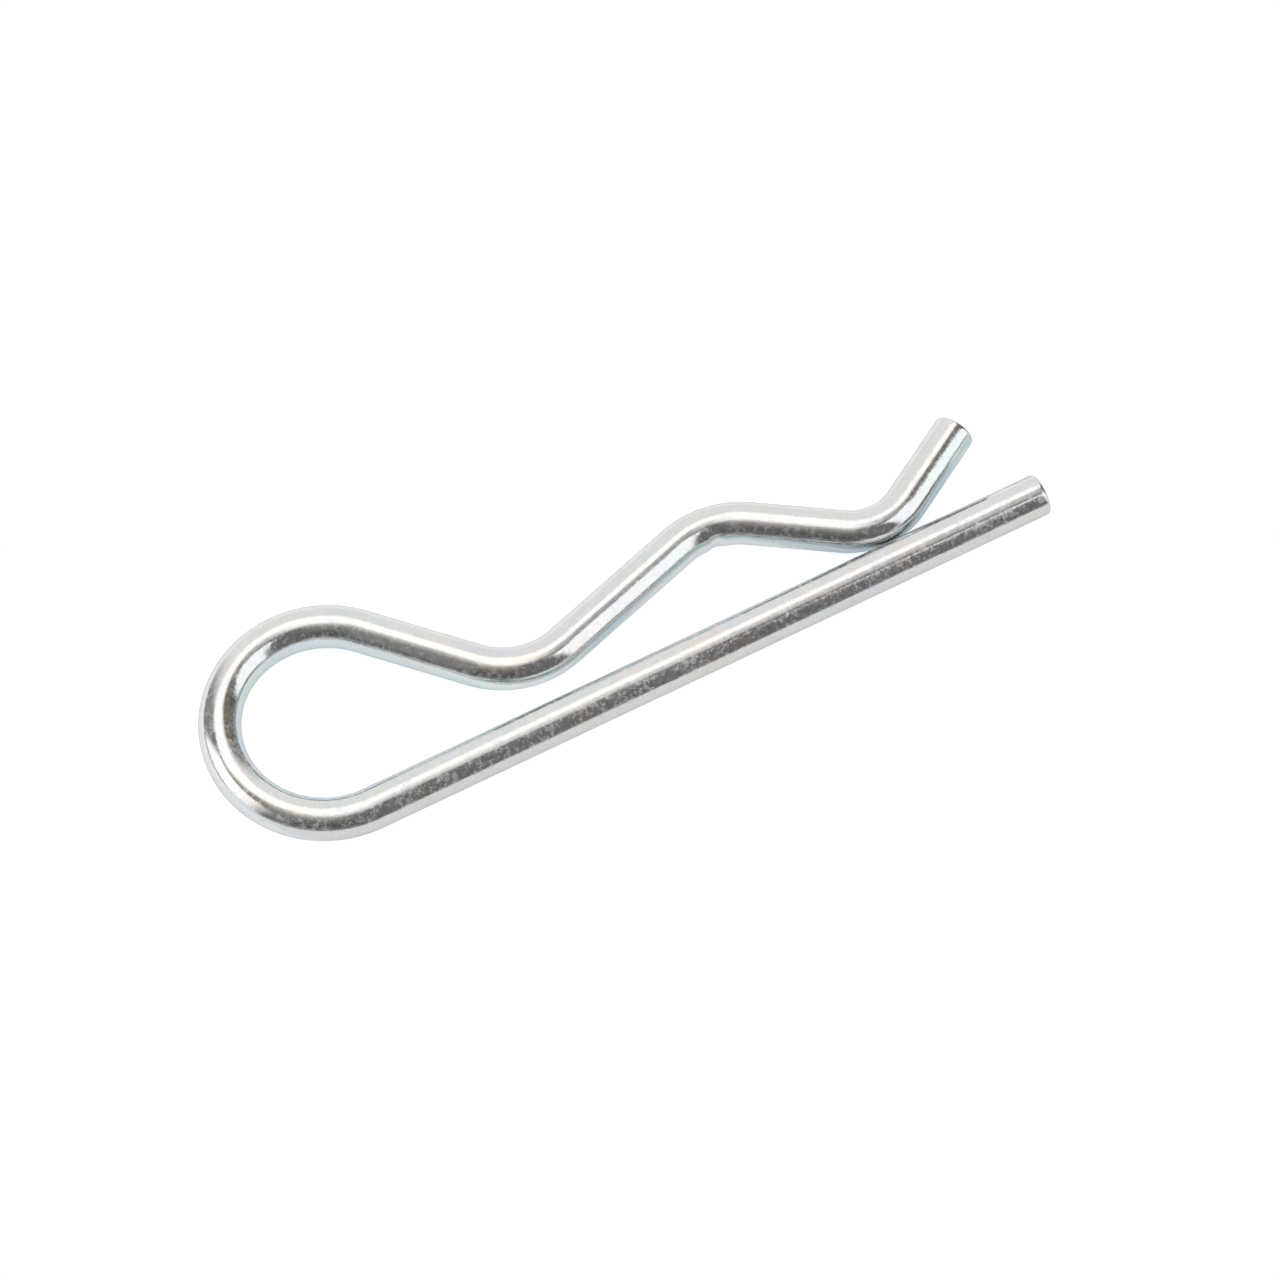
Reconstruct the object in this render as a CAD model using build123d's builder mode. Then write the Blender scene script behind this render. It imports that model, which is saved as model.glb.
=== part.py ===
from build123d import *

import os
from math import cos, radians, sin

# Hitch R clip pin: one length of round spring wire, bent cold into a loop with two legs.
# It lies flat on z = 0 with its straight leg along +X. The origin is midway along the overall
# length, on a line through the middle of the loop. Sizes are in millimetres and degrees.

# Driving sizes. Every bend radius and height is measured to the wire's centre line.
wire_diameter = 4.0
overall_length = 80.3  # outside of the loop to the free end of the straight leg
loop_radius = 9.6      # the round eye that springs the legs together
neck_radius = 8.0      # first bend of the waved leg, where it turns out of the loop
seat_radius = 8.3      # the hump that closes over the hitch pin
heel_radius = 6.2      # the bend that bears on the straight leg
neck_height = 6.1      # lowest point of the neck above the straight leg's axis
seat_height = 11.05    # highest point of the hump above the straight leg's axis
leg_gap = 0.05         # between the heel and the straight leg
tip_run = 9.0          # straight flared tip, from the heel to its cut end
end_rounding = 0.35    # rim of each cut end

# Slope of each straight run of the waved leg to the straight leg.
loop_exit_slope = 45.5
seat_rise_slope = 17.0
seat_fall_slope = 33.0
tip_slope = 30.5

wire_radius = wire_diameter / 2
heel_height = wire_diameter + leg_gap

# Turn of each bend, from one run's slope to the next.
loop_turn = 180 + loop_exit_slope
neck_turn = loop_exit_slope + seat_rise_slope
seat_turn = seat_rise_slope + seat_fall_slope
heel_turn = seat_fall_slope + tip_slope

# Where the loop and the straight leg stand in the clip's own frame.
leg_end_x = overall_length / 2
leg_y = -loop_radius
loop_x = loop_radius + wire_radius - overall_length / 2


def bend_rise(radius, slope):
    """Height that a bend gains between its level point and the place where it meets the slope."""
    return radius * (1 - cos(radians(slope)))


def run_length(height, slope):
    """Length of a straight run that gains this height at this slope."""
    return height / sin(radians(slope))


# Each run fills the height that the bends at its two ends leave.
loop_exit_height = loop_radius * (1 + cos(radians(loop_exit_slope)))
loop_exit_run = run_length(
    loop_exit_height - neck_height - bend_rise(neck_radius, loop_exit_slope),
    loop_exit_slope,
)
seat_rise_run = run_length(
    seat_height - neck_height - bend_rise(neck_radius + seat_radius, seat_rise_slope),
    seat_rise_slope,
)
seat_fall_run = run_length(
    seat_height - heel_height - bend_rise(seat_radius + heel_radius, seat_fall_slope),
    seat_fall_slope,
)

with BuildPart() as r_clip:
    # The wire's centre line, from the free end of the straight leg round to the flared tip.
    with BuildLine(Plane.XY.offset(wire_radius)) as centre_line:
        straight_leg = Line((leg_end_x, leg_y), (loop_x, leg_y))
        loop = JernArc(straight_leg @ 1, straight_leg % 1, loop_radius, -loop_turn)
        loop_exit = PolarLine(loop @ 1, loop_exit_run, direction=loop % 1)
        neck = JernArc(loop_exit @ 1, loop_exit % 1, neck_radius, neck_turn)
        seat_rise = PolarLine(neck @ 1, seat_rise_run, direction=neck % 1)
        seat = JernArc(seat_rise @ 1, seat_rise % 1, seat_radius, -seat_turn)
        seat_fall = PolarLine(seat @ 1, seat_fall_run, direction=seat % 1)
        heel = JernArc(seat_fall @ 1, seat_fall % 1, heel_radius, heel_turn)
        tip = PolarLine(heel @ 1, tip_run, direction=heel % 1)

    # The round wire, cut square at both ends.
    with BuildSketch(Plane(origin=straight_leg @ 0, z_dir=straight_leg % 0)):
        Circle(wire_radius)
    sweep(path=centre_line.wire())

    # The cut ends are tumbled smooth at the rim.
    cut_ends = r_clip.faces().filter_by(GeomType.PLANE)
    fillet(cut_ends.edges(), end_rounding)

r_clip.part.label = "r_clip"

os.makedirs("parts", exist_ok=True)
export_step(r_clip.part, "parts/r_clip.step")
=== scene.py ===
from math import cos, pi, radians, sin

import bmesh
import bpy
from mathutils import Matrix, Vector, noise


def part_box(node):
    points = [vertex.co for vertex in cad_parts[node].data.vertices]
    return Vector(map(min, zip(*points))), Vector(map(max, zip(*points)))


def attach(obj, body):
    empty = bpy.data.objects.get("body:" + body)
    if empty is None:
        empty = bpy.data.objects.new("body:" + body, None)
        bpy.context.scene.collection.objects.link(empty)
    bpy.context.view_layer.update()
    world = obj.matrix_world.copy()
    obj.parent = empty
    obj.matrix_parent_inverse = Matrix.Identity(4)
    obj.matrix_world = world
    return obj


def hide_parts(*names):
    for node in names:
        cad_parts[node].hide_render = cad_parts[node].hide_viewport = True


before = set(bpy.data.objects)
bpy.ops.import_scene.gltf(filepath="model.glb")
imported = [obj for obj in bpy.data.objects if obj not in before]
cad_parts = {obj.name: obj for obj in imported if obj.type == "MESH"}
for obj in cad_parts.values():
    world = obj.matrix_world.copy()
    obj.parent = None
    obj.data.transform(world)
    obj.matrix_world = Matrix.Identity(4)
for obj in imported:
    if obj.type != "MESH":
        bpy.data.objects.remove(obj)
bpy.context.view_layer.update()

MM = 0.001

# ---------------------------------------------------------------- the wire's sizes
# The outer sizes come from the CAD node's box; the bends between are the CAD part's own.
NODE = "r_clip"
box_low, box_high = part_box(NODE)
WIRE_RADIUS = (box_high[2] - box_low[2]) / 2
LOOP_RADIUS = (box_high[1] - box_low[1]) / 2 - WIRE_RADIUS
LEG_END_X = box_high[0]
LOOP_X = box_low[0] + LOOP_RADIUS + WIRE_RADIUS
LEG_Y = box_low[1] + WIRE_RADIUS
WIRE_Z = box_low[2] + WIRE_RADIUS

NECK_RADIUS = 8.0 * MM
SEAT_RADIUS = 8.3 * MM
HEEL_RADIUS = 6.2 * MM
NECK_HEIGHT = 6.1 * MM
SEAT_HEIGHT = 11.05 * MM
HEEL_HEIGHT = 2 * WIRE_RADIUS + 0.05 * MM
TIP_RUN = 9.0 * MM
LOOP_EXIT_SLOPE = radians(45.5)
SEAT_RISE_SLOPE = radians(17.0)
SEAT_FALL_SLOPE = radians(33.0)
TIP_SLOPE = radians(30.5)

END_ROUNDING = 0.35 * MM


def bend_rise(radius, slope):
    """Height a bend gains between its level point and the place where it meets the slope."""
    return radius * (1 - cos(slope))


def wire_pieces():
    """The wire from the free end of the straight leg to the tip, as (name, length, turn)."""
    loop_height = LOOP_RADIUS * (1 + cos(LOOP_EXIT_SLOPE))
    loop_exit = loop_height - NECK_HEIGHT - bend_rise(NECK_RADIUS, LOOP_EXIT_SLOPE)
    rise = SEAT_HEIGHT - NECK_HEIGHT - bend_rise(NECK_RADIUS + SEAT_RADIUS, SEAT_RISE_SLOPE)
    fall = SEAT_HEIGHT - HEEL_HEIGHT - bend_rise(SEAT_RADIUS + HEEL_RADIUS, SEAT_FALL_SLOPE)
    loop_turn = pi + LOOP_EXIT_SLOPE
    neck_turn = LOOP_EXIT_SLOPE + SEAT_RISE_SLOPE
    seat_turn = SEAT_RISE_SLOPE + SEAT_FALL_SLOPE
    heel_turn = SEAT_FALL_SLOPE + TIP_SLOPE
    return [
        ("leg", LEG_END_X - LOOP_X, 0.0),
        ("loop", LOOP_RADIUS * loop_turn, -loop_turn),
        ("loop_exit", loop_exit / sin(LOOP_EXIT_SLOPE), 0.0),
        ("neck", NECK_RADIUS * neck_turn, neck_turn),
        ("rise", rise / sin(SEAT_RISE_SLOPE), 0.0),
        ("seat", SEAT_RADIUS * seat_turn, -seat_turn),
        ("fall", fall / sin(SEAT_FALL_SLOPE), 0.0),
        ("heel", HEEL_RADIUS * heel_turn, heel_turn),
        ("tip", TIP_RUN, 0.0),
    ]


PIECES = wire_pieces()
WIRE_LENGTH = sum(length for _, length, _ in PIECES)


def piece_spans():
    """Where each piece starts and ends along the wire."""
    spans, at = {}, 0.0
    for name, length, _ in PIECES:
        spans[name] = (at, at + length)
        at += length
    return spans


SPANS = piece_spans()


def middle(name):
    """The length along the wire of a piece's middle."""
    start, end = SPANS[name]
    return (start + end) / 2


def centre_line(along):
    """The place on the centre line at this length from the leg's free end, and its heading."""
    x, y, heading = LEG_END_X, LEG_Y, pi
    left = along
    for _, length, turn in PIECES:
        step = min(left, length)
        if turn:
            radius = length / turn
            new = heading + step / radius
            x += radius * (sin(new) - sin(heading))
            y -= radius * (cos(new) - cos(heading))
            heading = new
        else:
            x += step * cos(heading)
            y += step * sin(heading)
        left -= step
        if left <= 0:
            break
    return Vector((x, y, WIRE_Z)), heading


# ---------------------------------------------------------------- the wire's real surface
AROUND = 96              # points in a ring
STRAIGHT_STEP = 0.28 * MM
BEND_STEP = 0.16 * MM
RIM_RINGS = 7
FACE_RINGS = 6

BEND_FLATTENING = 0.012  # share of the radius that the tightest bend loses
BEND_EASE = 1.2 * MM     # length over which the flattening sets in
WAVE_LENGTH = 7 * MM
WAVE_TURN = 1.3          # how much the waves change round the wire
WAVE_DEPTH = 0.012 * MM
MARK_DEPTH = 0.2 * MM
MARK_HALF_LENGTH = 1.1 * MM
FACE_DEPTH = 0.05 * MM
FACE_SWELLS = 2.2        # how often the cut face rises and falls across its radius
LEG_FACE_SEED = 3.0
TIP_FACE_SEED = 8.0


def bump_window(x, centre, half):
    """1 at the centre, falling smoothly to 0 at half away."""
    t = abs(x - centre) / half
    return (1 - t * t) ** 2 if t < 1 else 0.0


def bend_share(along):
    """How far into a bend this place is, from 0 to 1, and the bend's curvature."""
    for name, length, turn in PIECES:
        start, end = SPANS[name]
        if turn and start <= along <= end:
            return min(1.0, min(along - start, end - along) / BEND_EASE), abs(turn) / length
    return 0.0, 0.0


def surface_radius(along, angle):
    """The wire's radius here. angle is 0 on the left of the path, 90 degrees on top."""
    # Cold bends leave the section a little flat across the bend.
    share, curvature = bend_share(along)
    flat = BEND_FLATTENING * share * min(1.0, curvature * HEEL_RADIUS)
    radius = WIRE_RADIUS * (1 - flat * cos(angle) ** 2)
    # Drawing and rolling leave slow, shallow waves along the wire.
    place = Vector((along / WAVE_LENGTH, WAVE_TURN * cos(angle), WAVE_TURN * sin(angle)))
    radius -= WAVE_DEPTH * (0.5 + 0.5 * noise.noise(place))
    # The bending pin leaves a shallow mark on the inside of the hump.
    inside = max(0.0, -cos(angle)) ** 3
    return radius - MARK_DEPTH * inside * bump_window(along, middle("seat"), MARK_HALF_LENGTH)


def wire_point(along, across, up):
    """The point at these distances from the centre line, and its place on the straight wire."""
    centre, heading = centre_line(along)
    left = Vector((-sin(heading), cos(heading), 0))
    return centre + left * across + Vector((0, 0, up)), Vector((along, across, up))


def ring(along, scale=1.0, shift=lambda angle: 0.0):
    """One ring of points round the wire. shift moves each point along the wire by its angle."""
    points = []
    for i in range(AROUND):
        angle = 2 * pi * i / AROUND
        r = surface_radius(along, angle) * scale
        points.append(wire_point(along + shift(angle), r * cos(angle), r * sin(angle)))
    return points


def stations():
    """Lengths along the wire at which rings stand between the two rounded rims."""
    places = []
    for name, _, turn in PIECES:
        start, end = SPANS[name]
        start = max(start, END_ROUNDING)
        end = min(end, WIRE_LENGTH - END_ROUNDING)
        count = max(2, round((end - start) / (BEND_STEP if turn else STRAIGHT_STEP)))
        places += [start + (end - start) * i / count for i in range(count)]
    return places[1:]


def cut_face_depth(spread, angle, seed):
    """How far the sheared end face lies below the plane of its rim."""
    reach = FACE_SWELLS * spread
    place = Vector((reach * cos(angle), reach * sin(angle), seed))
    return FACE_DEPTH * (0.5 + 0.5 * noise.noise(place)) * (1 - spread ** 4)


def end_rings(along, inward, seed):
    """Rings from the cut face's middle out over its rounded rim, at one end of the wire."""
    face_share = (WIRE_RADIUS - END_ROUNDING) / WIRE_RADIUS
    rings = []
    for i in range(1, FACE_RINGS + 1):
        spread = i / FACE_RINGS
        rings.append(ring(along, face_share * spread,
                          lambda angle: inward * cut_face_depth(spread, angle, seed)))
    for i in range(1, RIM_RINGS + 1):
        turn = pi / 2 * i / RIM_RINGS
        radius = WIRE_RADIUS - END_ROUNDING * (1 - sin(turn))
        rings.append(ring(along + inward * END_ROUNDING * (1 - cos(turn)), radius / WIRE_RADIUS))
    return rings


def wire_mesh():
    """The whole wire as one closed mesh, with its place on the straight wire as an attribute."""
    bm = bmesh.new()
    layer = bm.verts.layers.float_vector.new("straight_wire")

    def add(where, straight):
        vert = bm.verts.new(where)
        vert[layer] = straight
        return vert

    rings = end_rings(0.0, 1, LEG_FACE_SEED)
    rings += [ring(at) for at in stations()]
    rings += reversed(end_rings(WIRE_LENGTH, -1, TIP_FACE_SEED))
    rows = [[add(*point) for point in points] for points in rings]
    hubs = [
        add(sum((vert.co for vert in row), Vector()) / AROUND, Vector((at, 0, 0)))
        for row, at in ((rows[0], 0.0), (rows[-1], WIRE_LENGTH))
    ]
    for i in range(AROUND):
        j = (i + 1) % AROUND
        for row, following in zip(rows, rows[1:]):
            bm.faces.new((row[i], row[j], following[j], following[i]))
        bm.faces.new((rows[0][j], rows[0][i], hubs[0]))
        bm.faces.new((rows[-1][i], rows[-1][j], hubs[1]))
    bmesh.ops.recalc_face_normals(bm, faces=bm.faces)
    mesh = bpy.data.meshes.new("clip_wire")
    bm.to_mesh(mesh)
    bm.free()
    mesh.shade_smooth()
    return mesh


# ---------------------------------------------------------------- node helpers
class Nodes:
    """A short way to write a node tree: each call adds a node and returns its output."""

    def __init__(self, tree):
        self.tree = tree

    def add(self, kind, **settings):
        node = self.tree.nodes.new(kind)
        for name, value in settings.items():
            setattr(node, name, value)
        return node

    def set(self, socket, value):
        if isinstance(value, bpy.types.NodeSocket):
            self.tree.links.new(value, socket)
        else:
            socket.default_value = value

    def math(self, operation, *values):
        node = self.add("ShaderNodeMath", operation=operation)
        for socket, value in zip(node.inputs, values):
            self.set(socket, value)
        return node.outputs[0]

    def multiply(self, a, b):
        """Multiplies two vectors or colours."""
        node = self.add("ShaderNodeVectorMath", operation="MULTIPLY")
        self.set(node.inputs[0], a)
        self.set(node.inputs[1], b)
        return node.outputs[0]

    def split(self, vector):
        """The vector's X, Y and Z."""
        node = self.add("ShaderNodeSeparateXYZ")
        self.set(node.inputs[0], vector)
        return node.outputs

    def smooth(self, value, low, high, at_low=0.0, at_high=1.0):
        """Goes smoothly from at_low to at_high as value goes from low to high."""
        node = self.add("ShaderNodeMapRange", interpolation_type="SMOOTHSTEP")
        sockets = ("Value", "From Min", "From Max", "To Min", "To Max")
        for name, v in zip(sockets, (value, low, high, at_low, at_high)):
            self.set(node.inputs[name], v)
        return node.outputs["Result"]

    def share(self, value, low, high):
        """Where value lies between low and high: 0 at low, 1 at high, and straight on past both."""
        return self.math("MULTIPLY", self.math("SUBTRACT", value, low), 1 / (high - low))

    def mix(self, factor, a, b):
        """Mixes two colours."""
        node = self.add("ShaderNodeMix", data_type="RGBA")
        self.set(node.inputs["Factor"], factor)
        self.set(node.inputs[6], a)
        self.set(node.inputs[7], b)
        return node.outputs[2]

    def noise(self, vector, scale, detail, roughness):
        node = self.add("ShaderNodeTexNoise")
        self.set(node.inputs["Vector"], vector)
        node.inputs["Scale"].default_value = scale
        node.inputs["Detail"].default_value = detail
        node.inputs["Roughness"].default_value = roughness
        return node.outputs["Fac"]

    def ramp(self, value, stops):
        node = self.add("ShaderNodeValToRGB")
        elements = node.color_ramp.elements
        while len(elements) < len(stops):
            elements.new(0.5)
        for element, (position, colour) in zip(elements, stops):
            element.position = position
            element.color = (*colour, 1)
        self.set(node.inputs[0], value)
        return node.outputs[0]


def new_material(name):
    """A material with its node helper and its shader node."""
    material = bpy.data.materials.new(name)
    material.use_nodes = True
    return material, Nodes(material.node_tree), material.node_tree.nodes["Principled BSDF"]


# ---------------------------------------------------------------- the clip's zinc plate
# Noise scales are per millimetre of the straight wire, and relief heights are in millimetres.
SPECK_HAZE = 0.58      # how hazy a speck is
MOTTLE_HAZE = 0.42     # how hazy the mottle is
WAVED_SIDE_HAZE = 0.62 # the waved side's haze beside the straight leg's
RUBBED_EDGE = 6        # mm past the loop's ends over which the haze changes
HAZE_MATT = 0.55       # how much of the mirror a full haze takes away
HAZE_ROUGHNESS = 0.10
EDGE_TINT = (0.70, 0.74, 0.76, 1)

PEEL_HEIGHT = 0.016
GRAIN_HEIGHT = 0.0025
LINE_HEIGHT = 0.003
SPECK_HEIGHT = 0.0015


def passivation(n, wire):
    """Blue-white zinc, with patches where the passivation is greener, browner or violet."""
    patches = n.noise(n.multiply(wire, (0.10, 0.25, 0.25)), 1.0, 3.0, 0.55)
    return n.ramp(patches, [
        (0.36, (0.630, 0.710, 0.695)),
        (0.45, (0.645, 0.702, 0.705)),
        (0.52, (0.655, 0.698, 0.705)),
        (0.58, (0.675, 0.692, 0.680)),
        (0.66, (0.640, 0.685, 0.725)),
    ])


def haze_colour(n, wire):
    """Pale specks, faintly blue or brown in places."""
    places = n.noise(n.multiply(wire, (0.3, 1.0, 1.0)), 0.8, 4.0, 0.65)
    return n.ramp(places, [
        (0.38, (0.76, 0.80, 0.97)),
        (0.46, (0.85, 0.88, 0.89)),
        (0.54, (0.86, 0.88, 0.87)),
        (0.62, (0.96, 0.86, 0.76)),
    ])


def specks(n, wire):
    """Rubbed specks from 0 to 1, in crowds."""
    crowd = n.noise(wire, 0.5, 2.0, 0.5)
    least = n.math("MULTIPLY_ADD", crowd, -0.36, 0.69)
    return n.smooth(n.noise(wire, 2.2, 3.0, 0.65), least, n.math("ADD", least, 0.11))


def haze_amount(n, wire, speck):
    """Specks and a fine mottle of zinc crystals, thicker on the straight leg.

    They scatter a little light, which shows where the mirror sees something dark."""
    mottle = n.smooth(n.noise(wire, 2.8, 4.0, 0.72), 0.40, 0.66)
    haze = n.math("MULTIPLY_ADD", speck, SPECK_HAZE, n.math("MULTIPLY", mottle, MOTTLE_HAZE))
    loop_start, loop_end = (at / MM for at in SPANS["loop"])
    rubbed = n.smooth(n.split(wire)["X"], loop_start + RUBBED_EDGE, loop_end - RUBBED_EDGE,
                      1.0, WAVED_SIDE_HAZE)
    return n.math("MULTIPLY", haze, rubbed)


def relief(n, wire, speck):
    """Orange peel of the plate, fine grain, die lines along the wire, and the specks."""
    lines = n.multiply(wire, (0.06, 1.0, 1.0))
    height = n.math("MULTIPLY", n.noise(wire, 0.9, 2.0, 0.5), PEEL_HEIGHT)
    height = n.math("MULTIPLY_ADD", n.noise(wire, 4.0, 3.0, 0.6), GRAIN_HEIGHT, height)
    height = n.math("MULTIPLY_ADD", n.noise(lines, 5.0, 2.0, 0.5), LINE_HEIGHT, height)
    height = n.math("MULTIPLY_ADD", speck, SPECK_HEIGHT, height)
    bump = n.add("ShaderNodeBump")
    bump.inputs["Strength"].default_value = 1.0
    bump.inputs["Distance"].default_value = MM
    n.set(bump.inputs["Height"], height)
    return bump.outputs[0]


def zinc_plate():
    """Bright zinc on drawn steel wire: near mirror, finely pitted, with faint passivation tints."""
    material, n, shader = new_material("zinc_plate")
    straight = n.add("ShaderNodeAttribute", attribute_name="straight_wire").outputs["Vector"]
    wire = n.multiply(straight, (1 / MM,) * 3)
    speck = specks(n, wire)
    haze = haze_amount(n, wire, speck)
    frost = n.smooth(n.noise(wire, 0.9, 3.0, 0.6), 0.35, 0.7, 0.08, 0.14)
    colour = n.mix(haze, passivation(n, wire), haze_colour(n, wire))
    n.set(shader.inputs["Base Color"], colour)
    shader.inputs["Specular Tint"].default_value = EDGE_TINT
    n.set(shader.inputs["Metallic"], n.math("MULTIPLY_ADD", haze, -HAZE_MATT, 1.0))
    n.set(shader.inputs["Roughness"], n.math("MULTIPLY_ADD", haze, HAZE_ROUGHNESS, frost))
    n.set(shader.inputs["Normal"], relief(n, wire, speck))
    return material


def clip():
    """The clip itself, which stands for the CAD wire."""
    mesh = wire_mesh()
    thing = bpy.data.objects.new("clip_wire", mesh)
    bpy.context.collection.objects.link(thing)
    mesh.materials.append(zinc_plate())
    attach(thing, "root")
    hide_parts(NODE)


# ---------------------------------------------------------------- the floor
FLOOR_HALF = 0.6
PAPER = (0.86, 0.85, 0.84, 1)
BLACK = (0, 0, 0, 1)
WHITE = (1, 1, 1, 1)
MIRRORED_PAPER = (0.2, 0.2, 0.2, 1)
COOL_WHITE = (0.93, 0.97, 1.0, 1)  # balances the warm lights on the paper
OWN_WHITE = 1.02       # light the paper gives to the camera by itself
SHADOW_ROOM = 0.30     # less of it near the clip, where the shadow has to show
NEAR_X = (48 * MM, 58 * MM)
NEAR_Y = (20 * MM, 30 * MM)

# Painted shade and painted brightness in the paper as the metal's reflections show it, by where it
# lies.
FRONT = (0.80, 0.80, 0.80)
BEHIND = (1.02, 1.02, 1.02)
BY_LEG_AT_LOOP = (0.90, 0.96, 0.99)
BY_LEG_AT_HUMP = (0.56, 0.68, 0.74)
BETWEEN_AT_LOOP = (0.76, 0.86, 0.90)
BETWEEN_AT_HUMP = (0.84, 0.89, 0.91)
NECK_SIDES = (-10 * MM, 0.0)
SOFT_EDGE = 2 * MM


def studio_white(red, green, blue):
    """A colour under the studio's lights, whose warmth makes the blue-white zinc look neutral."""
    return (1.055 * red, green, 0.985 * blue, 1)


def waved_side_line():
    """The waved side's place across the clip as ramp stops along the clip, both from 0 to 1."""
    loop_start, loop_end = SPANS["loop"]
    alongs = [loop_start + pi / 2 * LOOP_RADIUS, loop_start + pi * LOOP_RADIUS, loop_end]
    alongs += [SPANS["loop_exit"][1], middle("neck"), middle("seat"), middle("heel"), WIRE_LENGTH]
    stops = []
    for along in alongs:
        place, _ = centre_line(along)
        share_x = (place.x - box_low[0]) / (box_high[0] - box_low[0])
        share_y = (place.y - box_low[1]) / (box_high[1] - box_low[1])
        stops.append((share_x, (share_y, share_y, share_y)))
    return stops


def painted_floor_reflection(n, x, y):
    """The paper in the metal's reflections.

    Its tone is painted by place: brightest behind the clip, and painted shade, cooler and darker,
    between the two legs where the wire would shade it."""
    share_x = n.share(x, box_low[0], box_high[0])
    share_y = n.share(y, box_low[1], box_high[1])
    past_line = n.math("SUBTRACT", share_y, n.ramp(share_x, waved_side_line()))
    behind = n.smooth(past_line, 0.0, SOFT_EDGE / (box_high[1] - box_low[1]))
    past_leg = n.smooth(y, LEG_Y - SOFT_EDGE, LEG_Y)
    farther = n.smooth(y, LEG_Y + 2 * SOFT_EDGE, LEG_Y + 3 * SOFT_EDGE)
    left = n.smooth(x, box_low[0], box_low[0] + SOFT_EDGE)
    right = n.smooth(x, LEG_END_X - SOFT_EDGE, LEG_END_X, 1.0, 0.0)
    between = n.math("MULTIPLY", farther, n.math("MULTIPLY", left, right))
    past_neck = n.smooth(x, *NECK_SIDES)
    by_leg_tone = n.mix(past_neck, studio_white(*BY_LEG_AT_LOOP), studio_white(*BY_LEG_AT_HUMP))
    between_tone = n.mix(past_neck, studio_white(*BETWEEN_AT_LOOP), studio_white(*BETWEEN_AT_HUMP))
    tone = n.mix(past_leg, studio_white(*FRONT), by_leg_tone)
    tone = n.mix(between, tone, between_tone)
    return n.mix(behind, tone, studio_white(*BEHIND))


def white_floor():
    """Matt white paper that the camera sees as plain white, with the clip's faint shadow."""
    material, n, shader = new_material("white_floor")
    shader.inputs["Roughness"].default_value = 0.9
    shader.inputs["Specular IOR Level"].default_value = 0.0
    x, y, _ = n.split(n.add("ShaderNodeTexCoord").outputs["Object"])
    rays = n.add("ShaderNodeLightPath").outputs
    glossy = rays["Is Glossy Ray"]
    # Past the clip's shadow the camera sees the paper's own white, which needs no light.
    near_x = n.smooth(n.math("ABSOLUTE", x), *NEAR_X, 1.0, 0.0)
    near_y = n.smooth(n.math("ABSOLUTE", y), *NEAR_Y, 1.0, 0.0)
    near = n.math("MULTIPLY", near_x, near_y)
    paper = n.mix(near, BLACK, PAPER)
    n.set(shader.inputs["Base Color"], n.mix(glossy, paper, MIRRORED_PAPER))
    own_colour = n.mix(near, WHITE, COOL_WHITE)
    # In reflections the paper shows painted shade and painted brightness, set by place.
    glow = n.mix(glossy, own_colour, painted_floor_reflection(n, x, y))
    n.set(shader.inputs["Emission Color"], glow)
    own_white = n.math("MULTIPLY_ADD", near, -SHADOW_ROOM, OWN_WHITE)
    seen = n.math("MULTIPLY", rays["Is Camera Ray"], own_white)
    n.set(shader.inputs["Emission Strength"], n.math("ADD", glossy, seen))
    return material


def floor():
    """A wide white floor that the clip lies on."""
    mesh = bpy.data.meshes.new("floor")
    sides = ((-1, -1), (1, -1), (1, 1), (-1, 1))
    corners = [(FLOOR_HALF * x, FLOOR_HALF * y, box_low[2]) for x, y in sides]
    mesh.from_pydata(corners, [], [(0, 1, 2, 3)])
    thing = bpy.data.objects.new("floor", mesh)
    bpy.context.collection.objects.link(thing)
    mesh.materials.append(white_floor())


# ---------------------------------------------------------------- the studio
VIEW_AZIMUTH = -27.44   # turn of the camera about the clip, degrees
VIEW_ELEVATION = 64.58  # camera above the floor, degrees
VIEW_DISTANCE = 539.75 * MM
VIEW_AIM = Vector((0.455, -5.794, 2.0)) * MM
LENS = 166.77           # on a 36 mm sensor

# Directions in the studio are in degrees, turned with the camera's azimuth: right of the picture
# is 0, the back is 90, and `down` is the angle from straight up.
ROOM_SPAN = 100
ROOM = [
    # down, colour: bright overhead, dark on all sides, paler towards the floor
    (4, (1.45, 1.43, 1.38)),
    (9, (1.05, 1.04, 1.00)),
    (15, (0.62, 0.61, 0.58)),
    (26, (0.34, 0.325, 0.305)),
    (40, (0.185, 0.175, 0.165)),
    (56, (0.11, 0.105, 0.105)),
    (73, (0.105, 0.11, 0.115)),
    (88, (0.34, 0.36, 0.38)),
    (99, (0.80, 0.82, 0.84)),
]
PANELS = {
    # azimuth, half width, top, bottom, soft side, soft edge, colour; later ones lie over earlier
    "front_left": (232, 12, 28, 70, 8, 8, (0.27, 0.265, 0.26)),
    "front_right": (316, 26, 19, 84, 12, 5, (0.160, 0.155, 0.155)),
    "right_gap": (38, 15, 24, 80, 5, 5, (0.20, 0.17, 0.135)),
    "left_gap": (152, 13, 36, 100, 5, 4, (0.27, 0.265, 0.27)),
    "back": (98, 38, 20, 110, 12, 8, (0.99, 0.99, 0.98)),
    "overhead": (112, 56, -40, 34, 18, 4, (1.50, 1.48, 1.43)),
    "left_box_low": (209, 14, 44, 104, 6, 5, (0.90, 0.90, 0.90)),
    "right_box": (-12, 22, 28, 83, 4, 3, (1.34, 1.38, 1.40)),
    "left_box": (190, 24, 38, 84, 4, 3, (1.46, 1.46, 1.45)),
}


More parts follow.
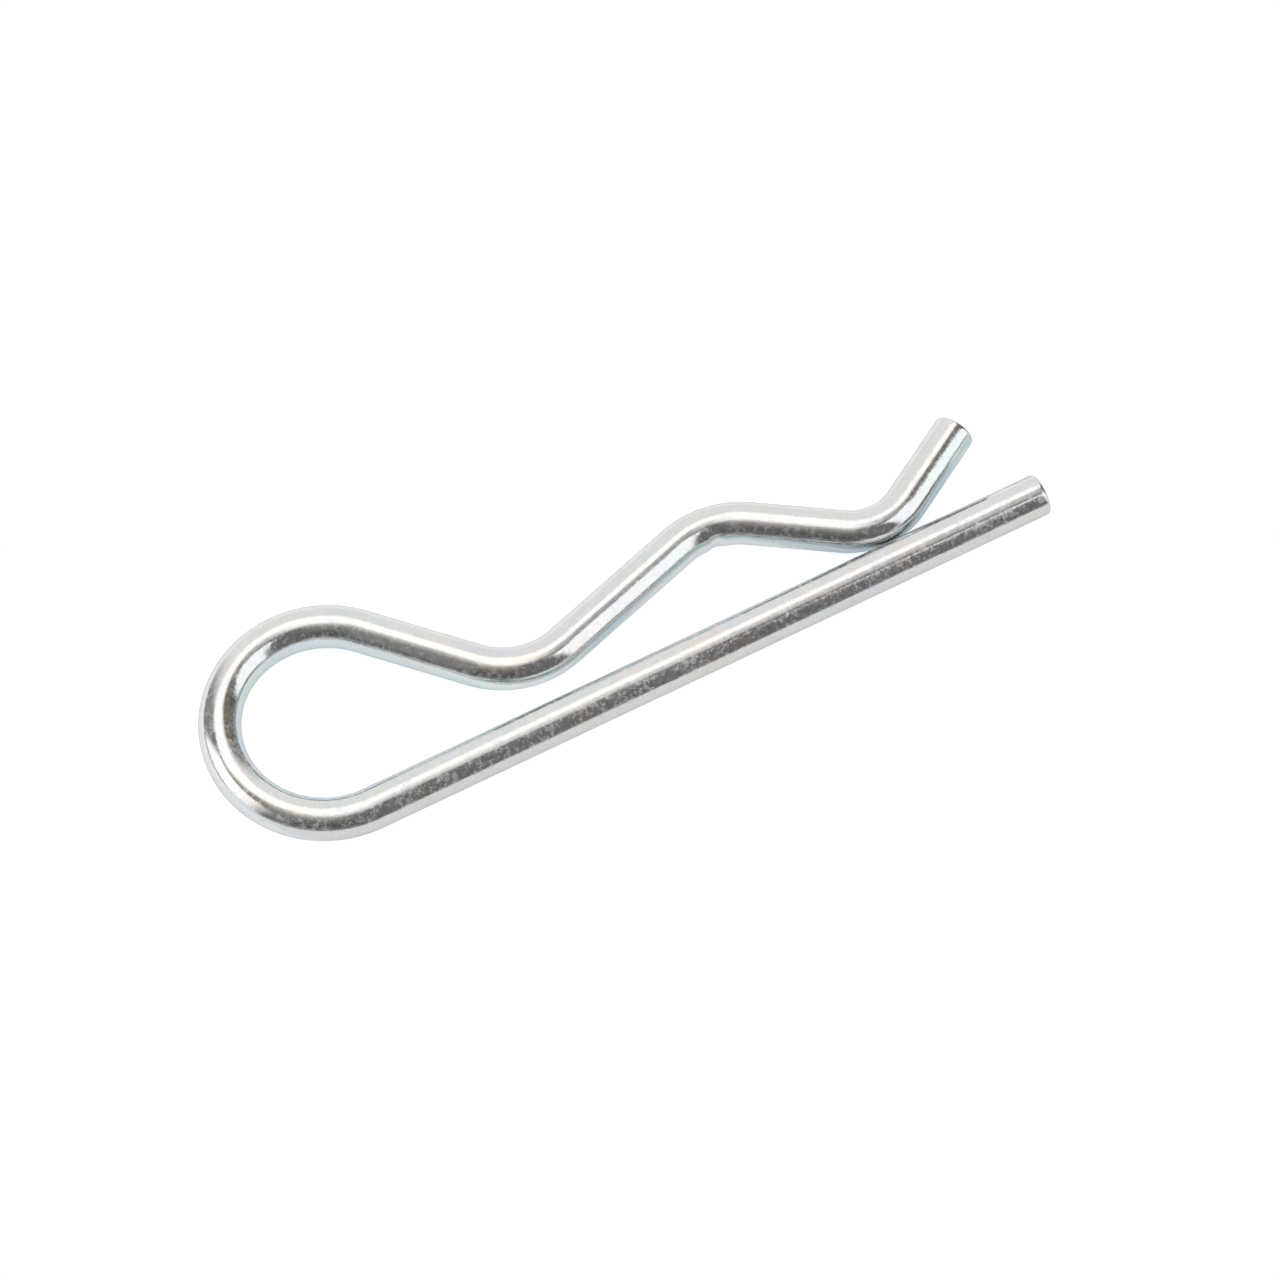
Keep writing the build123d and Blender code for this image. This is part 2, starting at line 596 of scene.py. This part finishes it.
def panel_mask(n, bearing, down, azimuth, half, top, bottom, soft_side, soft_edge):
    """1 inside a panel and 0 outside it, with soft sides and edges."""
    aside = n.math("WRAP", n.math("SUBTRACT", bearing, azimuth), 180, -180)
    mask = n.smooth(n.math("ABSOLUTE", aside), half - soft_side, half + soft_side, 1.0, 0.0)
    upper = n.smooth(down, top - soft_edge, top + soft_edge)
    lower = n.smooth(down, bottom - soft_edge, bottom + soft_edge, 1.0, 0.0)
    return n.math("MULTIPLY", mask, n.math("MULTIPLY", upper, lower))


def studio_world():
    """White overhead light, white back, a softbox on each side and a dark room in front."""
    world = bpy.data.worlds.new("studio")
    bpy.context.scene.world = world
    world.use_nodes = True
    world.node_tree.nodes.clear()
    n = Nodes(world.node_tree)
    turned = n.add("ShaderNodeVectorRotate", rotation_type="Z_AXIS")
    n.set(turned.inputs["Vector"], n.add("ShaderNodeTexCoord").outputs["Generated"])
    turned.inputs["Angle"].default_value = radians(-VIEW_AZIMUTH)
    x, y, z = n.split(turned.outputs[0])
    down = n.math("DEGREES", n.math("ARCCOSINE", z))
    bearing = n.math("DEGREES", n.math("ARCTAN2", y, x))

    stops = [(angle / ROOM_SPAN, colour) for angle, colour in ROOM]
    colour = n.ramp(n.math("DIVIDE", down, ROOM_SPAN), stops)
    for *place, light in PANELS.values():
        colour = n.mix(panel_mask(n, bearing, down, *place), colour, (*light, 1))
    colour = n.multiply(colour, studio_white(1.0, 1.0, 1.0)[:3])
    seen = n.add("ShaderNodeLightPath").outputs["Is Camera Ray"]
    background = n.add("ShaderNodeBackground")
    n.set(background.inputs["Color"], n.mix(seen, colour, WHITE))
    output = n.add("ShaderNodeOutputWorld")
    n.set(output.inputs["Surface"], background.outputs[0])


def camera():
    """The photograph's view: high above the floor and a little round from the clip's front."""
    data = bpy.data.cameras.new("camera")
    data.lens = LENS
    data.sensor_width = 36
    data.clip_start = 0.01
    data.clip_end = 20
    thing = bpy.data.objects.new("camera", data)
    bpy.context.collection.objects.link(thing)
    azimuth, elevation = radians(VIEW_AZIMUTH), radians(VIEW_ELEVATION)
    towards = Vector((
        sin(azimuth) * cos(elevation),
        -cos(azimuth) * cos(elevation),
        sin(elevation),
    ))
    thing.location = VIEW_AIM + towards * VIEW_DISTANCE
    thing.rotation_euler = towards.to_track_quat("Z", "Y").to_euler()
    bpy.context.scene.camera = thing


clip()
floor()
studio_world()
camera()
bpy.context.scene.view_settings.view_transform = "Standard"
